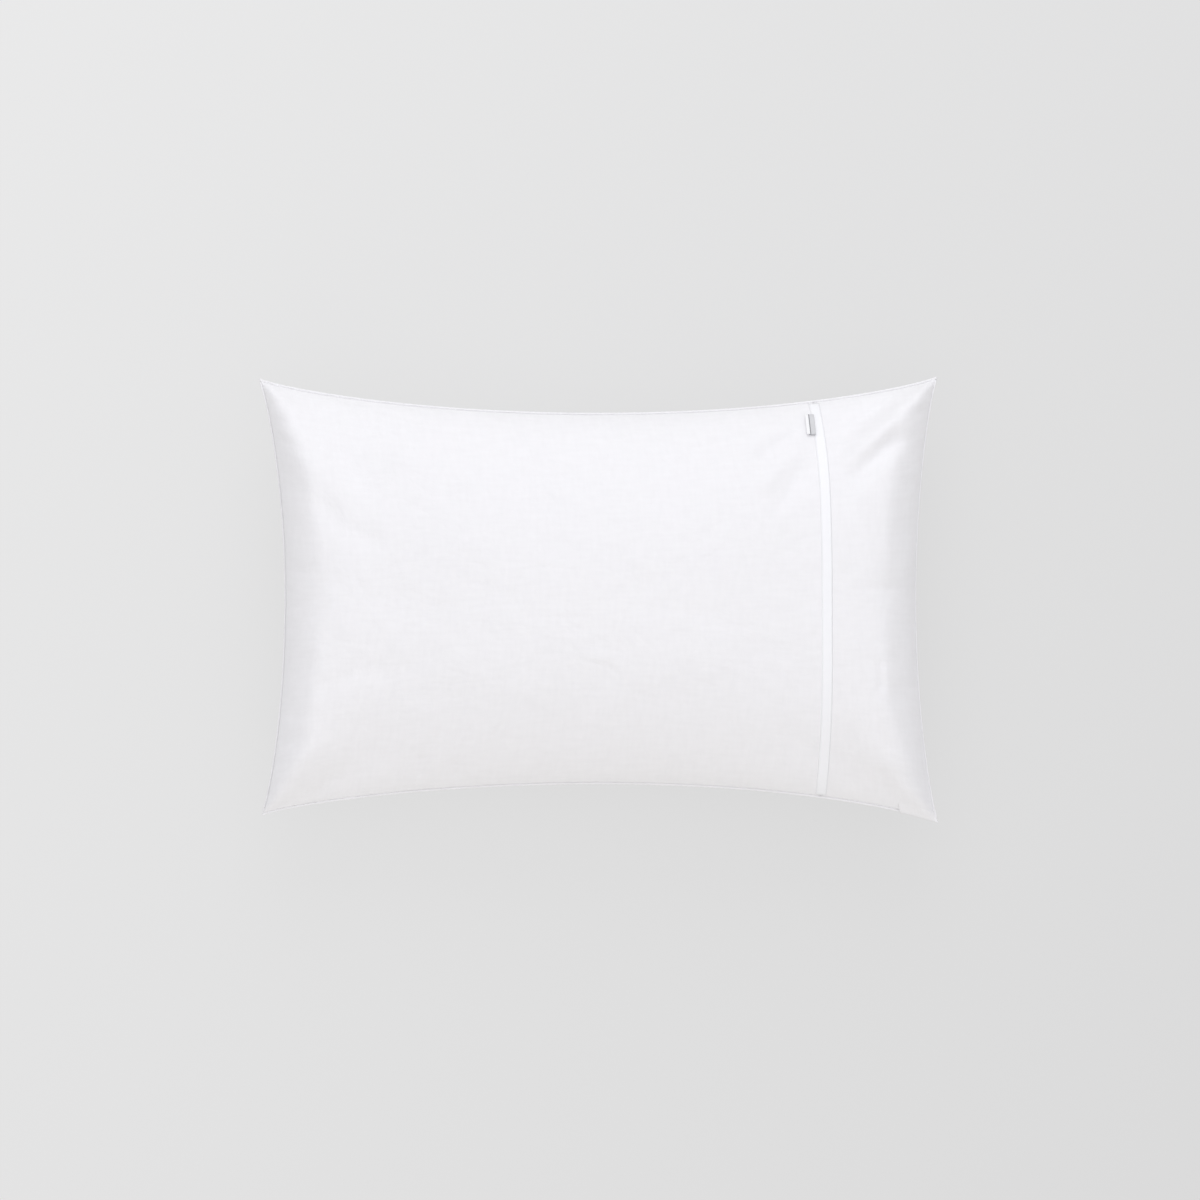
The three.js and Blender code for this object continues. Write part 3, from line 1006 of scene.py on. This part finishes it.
@dataclass
class PillowCase:
    """The cotton case: front, back, taped cuff, flap, seams and labels."""

    plan: BagPlan = BagPlan(
        half_length=0.3567, half_width=0.231, left_draw_in=0.0285, right_draw_in=0.0235,
        side_draw_in=0.0376, shift=0.0007, front_crown=0.100, back_crown=0.092,
        flat_length=0.730, flat_width=0.480,
        corners=(
            (-1, 1, 0.0, -0.0005), (1, 1, 0.0, 0.0016),
            (-1, -1, 0.0032, 0.0037), (1, -1, 0.001, -0.0037),
        ),
    )
    blow: Blow = Blow(pressure=3.0, frames=24)
    seam_height: float = 0.084
    ear_drop: float = 0.014
    floor: float = 0.0016
    half_gap: float = 0.0006
    tape_line: tuple[tuple[float, float], ...] = (
        (-1.0, 0.2340), (-0.76, 0.2372), (-0.48, 0.2388), (0.0, 0.2385), (0.24, 0.2383),
        (0.59, 0.2366), (0.79, 0.2330), (0.97, 0.2272), (1.0, 0.2260),
    )
    end_wall_depth: float = 0.046
    end_wall_rise: float = 0.0195
    tape_width: float = 0.0115
    flap_depth: float = 0.150
    gathers: Gathers = Gathers(11, 24, 34, 0.0042, 0.0015, 0.030, 0.013)
    back_gathers: Gathers = Gathers(23, 24, 34, 0.0042, 0.0018, 0.030, 0.016)
    folds: tuple[Fold, ...] = (
        Fold(((-0.3565, 0.2305), (-0.334, 0.190), (-0.305, 0.138), (-0.2935, 0.072), (-0.289, 0.0)),
             0.0030, 0.012),
        Fold(((-0.289, 0.0), (-0.2935, -0.075), (-0.305, -0.156), (-0.334, -0.195), (-0.352, -0.224)),
             0.0028, 0.012),
        Fold(((-0.3197, 0.198), (-0.270, 0.150), (-0.221, 0.1034)), -0.0048, 0.014),
        Fold(((-0.312, 0.2137), (-0.2357, 0.1633), (-0.176, 0.135)), 0.0038, 0.015),
        Fold(((-0.300, 0.110), (-0.262, 0.075), (-0.215, 0.052)), -0.0022, 0.012),
        Fold(((-0.300, -0.100), (-0.255, -0.078), (-0.205, -0.070)), -0.0020, 0.013),
        Fold(((0.3565, 0.2326), (0.305, 0.186), (0.2504, 0.137)), 0.0085, 0.011),
        Fold(((0.323, 0.176), (0.296, 0.150), (0.256, 0.112)), -0.0060, 0.010),
        Fold(((0.310, 0.210), (0.283, 0.1885), (0.2504, 0.1664)), -0.0062, 0.009),
        Fold(((0.354, 0.228), (0.3124, 0.1622), (0.302, 0.072), (0.2987, 0.0)), 0.0022, 0.011),
        Fold(((0.2987, 0.0), (0.300, -0.060), (0.2998, -0.1087), (0.325, -0.165), (0.348, -0.2126)),
             0.0030, 0.011),
        Fold(((0.2179, 0.1664), (0.190, 0.138), (0.1633, 0.1108)), 0.0032, 0.010),
        Fold(((0.2147, 0.1853), (0.178, 0.171), (0.1402, 0.156)), 0.0028, 0.009),
        Fold(((0.2126, 0.177), (0.1885, 0.159), (0.1549, 0.135)), -0.0032, 0.008),
        Fold(((0.222, 0.145), (0.205, 0.120), (0.182, 0.085)), -0.0026, 0.009),
        Fold(((-0.1864, -0.188), (-0.184, -0.160)), -0.0024, 0.006),
        Fold(((-0.2882, -0.208), (-0.276, -0.182)), -0.0026, 0.006),
        Fold(((-0.1496, -0.190), (-0.146, -0.166)), -0.0022, 0.005),
        Fold(((0.306, -0.206), (0.293, -0.176)), -0.0026, 0.006),
        Fold(((0.2935, -0.060), (0.297, -0.100)), -0.0022, 0.005),
        Fold(((0.268, 0.009), (0.298, 0.010), (0.330, 0.010)), -0.0010, 0.004),
    )
    front: Skin = field(init=False)
    back: Skin = field(init=False)

    def __post_init__(self) -> None:
        """Blow up the case and settle its two cloths on the filling and the floor."""
        front, back = (refine(cloth, 4) for cloth in self.blow.run(self.plan))
        s, t = np.meshgrid(np.linspace(-1, 1, front.shape[1]), np.linspace(-1, 1, front.shape[0]))
        self.front = Skin(self.settle_front(fit_outline(self.plan, front, s, t), s, t), Side.FRONT)
        self.back = Skin(self.settle_back(fit_outline(self.plan, back, s, t), s, t), Side.BACK)

    def seam_at(self, x: Array, y: Array) -> Array:
        """Height of the seam's surface, which droops at the ears."""
        share = (np.abs(x) / 0.356) * (np.abs(y) / 0.231)
        return self.seam_height - self.ear_drop * np.clip(share, 0, 1.1) ** 4

    def settle_front(self, points: Array, s: Array, t: Array) -> Array:
        """Raise the front from its seam and fold it.

        Args:
            points: the fitted front.
            s: places along it.
            t: places across it.

        Returns:
            The front in its place.
        """
        x, y, rise = points[..., 0], points[..., 1], points[..., 2]
        crown = rise.max()
        steep = smooth_step(0.70, 0.96, np.abs(s))
        rise = rise * (1 + 0.95 * steep * (1 - np.clip(rise / crown, 0, 1)) ** 3)
        reach = np.where(x < 0, self.plan.reach_x(t, -1), self.plan.reach_x(t, 1))
        from_end = np.clip(reach - np.abs(x - self.plan.shift), 0, None)
        ridge_at = 0.004 + self.end_wall_depth * (1 - np.abs(t) ** 5)
        share = from_end / ridge_at
        rise = rise + self.end_wall_rise * (1 - np.abs(t) ** 9) * share * np.exp((1 - share * share) / 2)
        inner = off_seam(s, t, CASE_EASE_IN)
        for fold in self.folds:
            rise = rise + fold.lift(x, y) * inner
        rise = rise + self.gathers.lift(self.plan, s, t) * inner
        height = self.seam_at(x, y) + self.half_gap + np.maximum(rise, 0)
        hinge = np.hypot(x - HINGE.x, y - HINGE.y)
        nearest = np.unravel_index(np.argmin(hinge), hinge.shape)
        wanted = HINGE.z - TAB_SURFACE_DROP
        gap = wanted - height[nearest]
        log.info("front at the tab is moved by %.1f mm", gap * 1000)
        height = height + gap * np.exp(-((hinge / 0.060) ** 2)) * inner
        return np.stack([x, y, height], -1)

    def settle_back(self, points: Array, s: Array, t: Array) -> Array:
        """Hang the back under its seam and lay it on the floor.

        Args:
            points: the fitted back.
            s: places along it.
            t: places across it.

        Returns:
            The back in its place.
        """
        x, y, drop = points[..., 0], points[..., 1], -points[..., 2]
        drop = drop * 0.9
        inner = off_seam(s, t, CASE_EASE_IN)
        drop = drop + self.back_gathers.lift(self.plan, s, t) * inner
        height = self.seam_at(x, y) - self.half_gap - np.maximum(drop, 0)
        ease = 0.004
        over = height - self.floor
        height = self.floor + 0.5 * (over + np.sqrt(over * over + ease * ease))
        return np.stack([x, y, np.maximum(height - ease * 0.1, self.floor)], -1)

    def tape_s(self, t: Array, shift: float = 0.0) -> Array:
        """Place along the case of the line where panel and cuff join.

        Args:
            t: places across the case.
            shift: how far from that line towards the mouth, in metres of plan.

        Returns:
            Places along the case.
        """
        across, along = zip(*self.tape_line)
        wanted = np.interp(t, *smooth_line(across, along)) + shift
        steps = np.linspace(0.4, 1.0, 121)
        found = np.empty_like(t)
        for index, place in enumerate(t):
            line = self.front.at(steps, np.full_like(steps, place))[:, 0]
            found[index] = np.interp(wanted[index], line, steps)
        return found

    def build(self) -> None:
        """Build every piece of the case."""
        for side in Side:
            self.build_cloths(side)
            self.build_tape(side)
            self.build_hem(side)
        self.build_seams()
        self.build_flap()
        self.build_hem_corner()
        self.build_care_label()
        self.build_tab()

    def half(self, side: Side) -> tuple[Skin, Body, str]:
        """What belongs to one side of the case.

        Args:
            side: front or back.

        Returns:
            Its cloth, its body and the word for it in names.
        """
        if side is Side.FRONT:
            return self.front, Body.FRONT, "front"
        return self.back, Body.BACK, "back"

    def build_cloths(self, side: Side) -> None:
        """Build the panel and the cuff of one side.

        Args:
            side: front or back.
        """
        skin, body, word = self.half(side)
        rows = np.linspace(-1, 1, 400)
        join = self.tape_s(rows)

        def panel(a: Array, b: Array) -> Array:
            """Places of the panel.

            Args:
                a: from 0 to 1 along the case.
                b: from 0 to 1 across it.

            Returns:
                The points.
            """
            t = 2 * b - 1
            end = np.interp(t, rows, join) - 0.0004
            return skin.at(-1 + a * (end + 1), t)

        def cuff(a: Array, b: Array) -> Array:
            """Places of the cuff.

            Args:
                a: from 0 to 1 along the case.
                b: from 0 to 1 across it.

            Returns:
                The points.
            """
            t = 2 * b - 1
            start = np.interp(t, rows, join) + 0.0004
            return skin.at(start + a * (1 - start), t)

        flip = side is Side.BACK
        dense = (196, 150) if side is Side.FRONT else (150, 110)
        piece = cloth_patch(f"case_{word}_panel", panel, dense, PANEL_FLAT, flip=flip)
        declare(piece, body, CASE_COTTON, [f"{word}_panel"])
        collapse(piece)
        piece = cloth_patch(f"case_{word}_cuff", cuff, (44, 150), CUFF_FLAT, flip=flip)
        declare(piece, body, CASE_COTTON, [f"{word}_cuff"])
        collapse(piece)

    def build_tape(self, side: Side) -> None:
        """Build the sateen tape over the join and its two rows of stitches.

        Args:
            side: front or back.
        """
        skin, body, word = self.half(side)
        rows = np.linspace(-0.985, 0.985, 300)
        low = self.tape_s(rows, -self.tape_width / 2)
        high = self.tape_s(rows, self.tape_width / 2)

        def tape(a: Array, b: Array) -> Array:
            """Places of the tape.

            Args:
                a: from 0 to 1 along the case.
                b: from 0 to 1 across it.

            Returns:
                The points.
            """
            t = -0.985 + 1.97 * b
            first, last = np.interp(t, rows, low), np.interp(t, rows, high)
            bow = 0.00010 + 0.00050 * (1 - (2 * a - 1) ** 4)
            return skin.at(first + a * (last - first), t, bow)

        flat = (self.tape_width, TAPE_LENGTH)
        piece = cloth_patch(f"case_{word}_tape", tape, (8, 220), flat, 0.0003, side is Side.BACK)
        declare(piece, body, SATEEN, [f"{word}_tape"])
        collapse(piece)
        for label, share in (("inner", 0.10), ("outer", 0.90)):
            line = low + share * (high - low)
            points = skin.at(line, rows, 0.00075)
            name = f"tape_stitches_{word}_{label}"
            out = skin.normal(line, rows)
            row = stitch_row(name, points, out, STITCH_PITCH, STITCH_LENGTH, THREAD_RADIUS)
            declare(row, body, THREAD)
            collapse(row)

    def build_hem(self, side: Side) -> None:
        """Build the folded edge of the cuff at the mouth.

        Args:
            side: front or back.
        """
        skin, body, word = self.half(side)
        t = np.linspace(-0.985, 0.985, 260)
        path = skin.at(np.full_like(t, 0.9985), t)
        path[:, 2] += side.value * 0.0005
        piece = tube_along(f"cuff_fold_{word}", path, np.full(len(t), 0.0008), 8)
        declare(piece, body, CASE_COTTON)
        collapse(piece)

    def build_seams(self) -> None:
        """Build the three sewn edges as rolled, slightly gathered beads."""
        rng = np.random.default_rng(5)
        count = 420
        run = np.linspace(-0.997, 0.997, count)
        one = np.ones(count)
        edges = (
            ("case_upper_seam", "upper_side_seam", run, one, (0.0, 1.0)),
            ("case_lower_seam", "lower_side_seam", run, -one, (0.0, -1.0)),
            ("case_closed_end_seam", "closed_end_seam", -one, run * 0.985, (-1.0, 0.0)),
        )
        for name, node, s, t, away in edges:
            path = (self.front.at(s, t) + self.back.at(s, t)) / 2
            path[:, 0] += away[0] * 0.0003
            path[:, 1] += away[1] * 0.0003
            ripple = np.convolve(rng.normal(0, 1, count + 8), np.ones(9) / 9, "valid")
            path[:, 2] += ripple[:count] * 0.0005 + (0.0007 if away[1] else 0.0)
            radius = (0.00130 if away[1] else 0.00112) + 0.00012 * np.sin(np.arange(count) * 1.9)
            piece = tube_along(name, path, radius, 10)
            declare(piece, Body.BACK, THREAD, [node])
            collapse(piece)

    def build_flap(self) -> None:
        """Build the flap that tucks in over the pillow at the mouth."""
        def flap(a: Array, b: Array) -> Array:
            """Places of the flap."""
            t = (2 * b - 1) * 0.88
            return self.front.at(0.55 + a * 0.415, t, -0.0034)

        piece = cloth_patch("tuck_in_flap_cloth", flap, (50, 110), (self.flap_depth, FLAP_WIDTH), 0.0007)
        declare(piece, Body.BACK, CASE_COTTON, ["tuck_in_flap"])
        collapse(piece)

    def build_hem_corner(self) -> None:
        """Build the squared doubled corner of the cuff's hem at its lower ear."""
        def corner(a: Array, b: Array) -> Array:
            """Places of the doubled corner."""
            points = self.front.at(0.885 + a * 0.115, -1.0 + b * 0.040, 0.0007 - 0.0009 * b * b)
            return points + np.stack([0.0004 + 0 * b, -0.0018 * (1 - b), 0.0002 * (1 - b)], -1)

        piece = cloth_patch("cuff_hem_corner", corner, (24, 8), HEM_CORNER_FLAT, 0.0006)
        declare(piece, Body.FRONT, CASE_COTTON)
        collapse(piece)

    def build_care_label(self) -> None:
        """Build the blank care label inside the front."""
        def label(a: Array, b: Array) -> Array:
            """Places of the label."""
            return self.front.at(-0.655 + a * 0.086, -0.80 + b * 0.20, -0.0022)

        piece = cloth_patch("case_care_label_tape", label, (12, 18), LABEL_FLAT, 0.0004)
        declare(piece, Body.FRONT, LABEL_TAPE, ["case_care_label"])
        collapse(piece)

    def build_tab(self) -> None:
        """Build the folded satin tab, which turns on its sewn edge."""
        along = HINGE_AXIS.normalized()
        out = Vector(self.front.normal(np.array([0.62]), np.array([0.88]))[0])
        out = (out - out.dot(along) * along).normalized()
        across = out.cross(along)
        if across.x > 0:
            across = -across
        width, length, bend = 0.0090, 0.0260, 0.00032
        path = 2 * width + math.pi * bend

        def tab(a: Array, b: Array) -> Array:
            """Places of the folded satin, top layer first.

            Args:
                a: from 0 to 1 along the satin, over its fold.
                b: from 0 to 1 along the sewn edge.

            Returns:
                The points.
            """
            gone = a * path
            over = np.minimum(gone, width)
            turn = np.clip((gone - width) / bend, 0, math.pi)
            under = np.maximum(gone - width - math.pi * bend, 0)
            reach = over + bend * np.sin(turn) - under
            rise = bend * np.cos(turn) + 0.0007 * (reach / width) ** 2
            side = (b - 0.5) * length
            base = np.array(HINGE)[None, :] + np.array(out)[None, :] * 0.0005
            laid = base + reach[:, None] * np.array(across) + side[:, None] * np.array(along)
            return laid + rise[:, None] * np.array(out)

        piece = cloth_patch("maker_tab_satin", tab, (46, 26), (path, length), 0.00022)
        declare(piece, Body.TAB, SATIN_TAB, ["maker_tab"])
        collapse(piece)


# ---------------------------------------------------------------- the pillow


@dataclass
class FilledPillow:
    """The pillow in the case: ticking, piping, filling and care label."""

    case: PillowCase
    plan: BagPlan = BagPlan(
        half_length=0.325, half_width=0.203, left_draw_in=0.009, right_draw_in=0.009,
        side_draw_in=0.018, shift=-0.0033, front_crown=0.0925, back_crown=0.0885,
        flat_length=0.730, flat_width=0.480, bow=1.0,
    )
    blow: Blow = Blow(pressure=3.0, frames=20, cells_long=84, cells_wide=54)
    gathers: Gathers = Gathers(31, 30, 44, 0.0042, 0.0036, 0.034, 0.030)
    front: Skin = field(init=False)
    back: Skin = field(init=False)

    def __post_init__(self) -> None:
        """Blow up the ticking and keep it clear of the case."""
        front, back = (refine(cloth, 3) for cloth in self.blow.run(self.plan))
        s, t = np.meshgrid(np.linspace(-1, 1, front.shape[1]), np.linspace(-1, 1, front.shape[0]))
        self.front = Skin(self.settle(front, s, t, Side.FRONT), Side.FRONT)
        self.back = Skin(self.settle(back, s, t, Side.BACK), Side.BACK)

    def settle(self, points: Array, s: Array, t: Array, side: Side) -> Array:
        """Fit one ticking inside its case cloth.

        Args:
            points: the blown ticking.
            s: places along it.
            t: places across it.
            side: front or back.

        Returns:
            The ticking in its place.
        """
        fitted = fit_outline(self.plan, points, s, t)
        x, y = fitted[..., 0], fitted[..., 1]
        rise = np.abs(fitted[..., 2])
        crown = self.plan.front_crown if side is Side.FRONT else self.plan.back_crown
        rise = rise / rise.max() * crown
        inner = off_seam(s, t, TICKING_EASE_IN)
        rise = np.maximum(rise + self.gathers.lift(self.plan, s, t) * inner, 0)
        height = self.case.seam_at(x, y) + side.value * (0.0006 + rise)
        limit = case_heights(self.case, side, x, y)
        room = np.where(x > 0.16, 0.0075, 0.0045) if side is Side.FRONT else 0.0035
        if side is Side.FRONT:
            height = np.minimum(height, limit - room)
        else:
            height = np.maximum(height, limit + room)
        return np.stack([x, y, height], -1)

    def build(self) -> None:
        """Build every piece of the pillow."""
        self.build_ticking()
        self.build_piping()
        self.build_filling()
        self.build_care_label()

    def build_ticking(self) -> None:
        """Build the two ticking cloths."""
        for side, skin, word in ((Side.FRONT, self.front, "front"), (Side.BACK, self.back, "back")):
            def ticking(a: Array, b: Array, skin: Skin = skin) -> Array:
                """Places of the ticking."""
                return skin.at(2 * a - 1, 2 * b - 1)

            flat = (self.plan.flat_length, self.plan.flat_width)
            flip = side is Side.BACK
            piece = cloth_patch(f"pillow_ticking_{word}", ticking, (180, 120), flat, 0.0007, flip)
            declare(piece, Body.PILLOW, TICKING, [f"ticking_{word}"])

    def build_piping(self) -> None:
        """Build the piping that runs round the ticking's seam."""
        run = np.linspace(-0.992, 0.992, 200)
        one = np.ones(200)
        sides = ((run, one), (one, -run), (-run, -one), (-one, run))
        loop = np.concatenate([(self.front.at(s, t) + self.back.at(s, t)) / 2 for s, t in sides])
        middle = loop.mean(axis=0)
        away = loop - middle
        away[:, 2] = 0
        away /= np.linalg.norm(away, axis=1, keepdims=True)
        loop = loop + away * 0.0021
        loop = np.concatenate([loop, loop[:2]])
        piece = tube_along("pillow_piping_cord", loop, np.full(len(loop), 0.0018), 10)
        declare(piece, Body.PILLOW, TICKING_PIPING, ["pillow_piping"])

    def build_filling(self) -> None:
        """Build the filling as one closed pad under the ticking."""
        work = bmesh.new()
        uv_layer = work.loops.layers.uv.new("cloth")
        front, back = twin_grids(work, 110, 72)
        for face in work.faces:
            for loop in face.loops:
                loop[uv_layer].uv = (loop.vert.co.x * 0.65, loop.vert.co.y * 0.41)
        for skin, verts in ((self.front, front), (self.back, back)):
            s = np.array([1.92 * vert.co.x for vert in verts])
            t = np.array([1.92 * vert.co.y for vert in verts])
            edge = np.clip((0.96 - np.maximum(np.abs(s), np.abs(t))) / 0.12, 0, 1)
            middle = (self.front.at(s, t) + self.back.at(s, t)) / 2
            inside = skin.at(s, t, -0.0035)
            points = middle + (inside - middle) * (edge**0.5)[:, None]
            for vert, point in zip(verts, points):
                vert.co = Vector(point)
        bmesh.ops.remove_doubles(work, verts=work.verts, dist=1e-6)
        bmesh.ops.recalc_face_normals(work, faces=work.faces)
        piece = keep_mesh("pillow_fibre_filling", work)
        declare(piece, Body.PILLOW, FIBRE, ["fibre_filling"])

    def build_care_label(self) -> None:
        """Build the blank care label on the ticking."""
        def label(a: Array, b: Array) -> Array:
            """Places of the label."""
            return self.front.at(-0.80 + a * 0.09, (2 * b - 1) * 0.113, 0.0012)

        piece = cloth_patch("pillow_care_label_tape", label, (12, 18), LABEL_FLAT, 0.0004)
        declare(piece, Body.PILLOW, LABEL_TAPE, ["pillow_care_label"])


def case_heights(case: PillowCase, side: Side, x: Array, y: Array) -> Array:
    """Heights of a case cloth over given plan places.

    Args:
        case: the case.
        side: front or back.
        x: plan places along.
        y: plan places across.

    Returns:
        The heights in metres.
    """
    skin = case.front if side is Side.FRONT else case.back
    rows, columns = skin.points.shape[:2]
    verts = [Vector(point) for point in skin.points.reshape(-1, 3)]
    faces = [
        (r * columns + c, r * columns + c + 1, (r + 1) * columns + c + 1, (r + 1) * columns + c)
        for r in range(rows - 1)
        for c in range(columns - 1)
    ]
    tree = BVHTree.FromPolygons(verts, faces)
    found = np.full(x.shape, case.seam_height)
    for index in np.ndindex(x.shape):
        start = Vector((x[index], y[index], 1.0))
        hit = tree.ray_cast(start, Vector((0, 0, -1)))
        if hit[0] is not None:
            found[index] = hit[0].z
    return found


# ---------------------------------------------------------------- the studio


@dataclass(frozen=True)
class Studio:
    """A pale floor, soft light from the head side, and the camera overhead."""

    lens: float = 200.0
    view_width: float = 1.26
    middle: tuple[float, float] = (0.0026, -0.0016)
    seam_plane: float = 0.084
    key_energy: float = 25.0
    fill_energy: float = 5.5
    horizon: tuple[float, float, float] = (0.46, 0.455, 0.45)
    zenith: tuple[float, float, float] = (1.06, 1.06, 1.085)
    floor_tone: float = 0.20
    floor_glow: float = 0.562
    glow_along: float = -0.036
    glow_across: float = 0.020

    def build(self) -> None:
        """Build the floor, the lights and the camera."""
        self.build_floor()
        self.build_light()
        self.build_camera()

    def build_floor(self) -> None:
        """Build the floor."""
        work = bmesh.new()
        bmesh.ops.create_grid(work, x_segments=2, y_segments=2, size=20.0)
        floor = keep_mesh("studio_floor", work, smooth=False)
        paper = bpy.data.materials.new("studio_paper")
        paper.use_nodes = True
        shader = paper.node_tree.nodes["Principled BSDF"]
        shader.inputs["Base Color"].default_value = (self.floor_tone, self.floor_tone, self.floor_tone, 1)
        shader.inputs["Roughness"].default_value = 1.0
        shader.inputs["Specular IOR Level"].default_value = 0.0
        shader.inputs["Emission Strength"].default_value = 1.0
        kit = NodeKit(paper.node_tree)
        split = kit.add("ShaderNodeSeparateXYZ")
        kit.feed(split.inputs[0], kit.add("ShaderNodeTexCoord").outputs["Object"])
        # The floor glows evenly. On top of that glow, a painted falloff along and across the floor stands in
        # for the lights' own falloff.
        along = self.painted_falloff_ramp(kit, split.outputs[0], self.glow_along)
        glow = kit.maths("ADD", along, self.painted_falloff_ramp(kit, split.outputs[1], self.glow_across))
        glow = kit.maths("ADD", glow, self.floor_glow)
        glow_with_painted_falloff = kit.add("ShaderNodeCombineColor")
        for channel in range(3):
            kit.feed(glow_with_painted_falloff.inputs[channel], glow)
        kit.feed(shader.inputs["Emission Color"], glow_with_painted_falloff.outputs[0])
        floor.data.materials.append(paper)

    def painted_falloff_ramp(self, kit: NodeKit, place: Socket, rise: float) -> Socket:
        """A gentle change of the floor's glow across the view: a painted light falloff in place of the
        lights' own falloff.

        Args:
            kit: the paper's nodes.
            place: where on the floor.
            rise: the change from the middle to 0.7 m away.

        Returns:
            The change there.
        """
        node = kit.add("ShaderNodeMapRange")
        kit.feed(node.inputs["Value"], place)
        for label, value in (("From Min", -0.7), ("From Max", 0.7), ("To Min", -rise), ("To Max", rise)):
            node.inputs[label].default_value = value
        return node.outputs[0]

    def build_light(self) -> None:
        """Build the key light and the even surround."""
        world = bpy.data.worlds.new("studio")
        world.use_nodes = True
        ground = world.node_tree.nodes["Background"]
        kit = NodeKit(world.node_tree)
        split = kit.add("ShaderNodeSeparateXYZ")
        kit.feed(split.inputs[0], kit.add("ShaderNodeTexCoord").outputs["Generated"])
        up = kit.maths("MAXIMUM", split.outputs[2], 0.0)
        kit.feed(ground.inputs[0], kit.mix(up, (*self.horizon, 1), (*self.zenith, 1)))
        ground.inputs[1].default_value = 1.0
        bpy.context.scene.world = world
        self.hang_panel("key_panel", (0.0, 2.73, 1.75), 2.0, self.key_energy, (0.965, 0.975, 1.0))
        self.hang_panel("low_fill", (0.0, -2.4, 0.9), 1.6, self.fill_energy, (1.0, 0.91, 0.70))

    def hang_panel(self, name: str, place: tuple[float, float, float], size: float, energy: float,
                   colour: tuple[float, float, float]) -> None:
        """Hang one soft light panel that faces the pillow.

        Args:
            name: the light's name.
            place: where it hangs.
            size: its side in metres.
            energy: its power in watts.
            colour: its tint.
        """
        lamp = bpy.data.lights.new(name, "AREA")
        lamp.shape = "SQUARE"
        lamp.size = size
        lamp.energy = energy
        lamp.color = colour
        panel = bpy.data.objects.new(name, lamp)
        panel.location = place
        aim = Vector((0, 0, 0.08)) - Vector(place)
        panel.rotation_euler = aim.to_track_quat("-Z", "Y").to_euler()
        panel.visible_camera = False
        bpy.context.scene.collection.objects.link(panel)

    def build_camera(self) -> None:
        """Build the camera, straight overhead with the pillow's head side up."""
        data = bpy.data.cameras.new("overhead")
        data.lens = self.lens
        data.sensor_width = 36.0
        data.clip_end = 100.0
        camera = bpy.data.objects.new("overhead", data)
        distance = self.view_width * self.lens / 36.0
        camera.location = (self.middle[0], self.middle[1], self.seam_plane + distance)
        camera.rotation_euler = (0.0, 0.0, 0.0)
        bpy.context.scene.collection.objects.link(camera)
        bpy.context.scene.camera = camera
        bpy.context.scene.view_settings.view_transform = "Standard"
        bpy.context.scene.view_settings.look = "None"


def main() -> None:
    """Build the studio, the case and the pillow."""
    logging.basicConfig(level=logging.INFO, format="%(message)s")
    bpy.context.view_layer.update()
    Studio().build()
    case = PillowCase()
    case.build()
    FilledPillow(case).build()


if __name__ == "__main__":
    main()
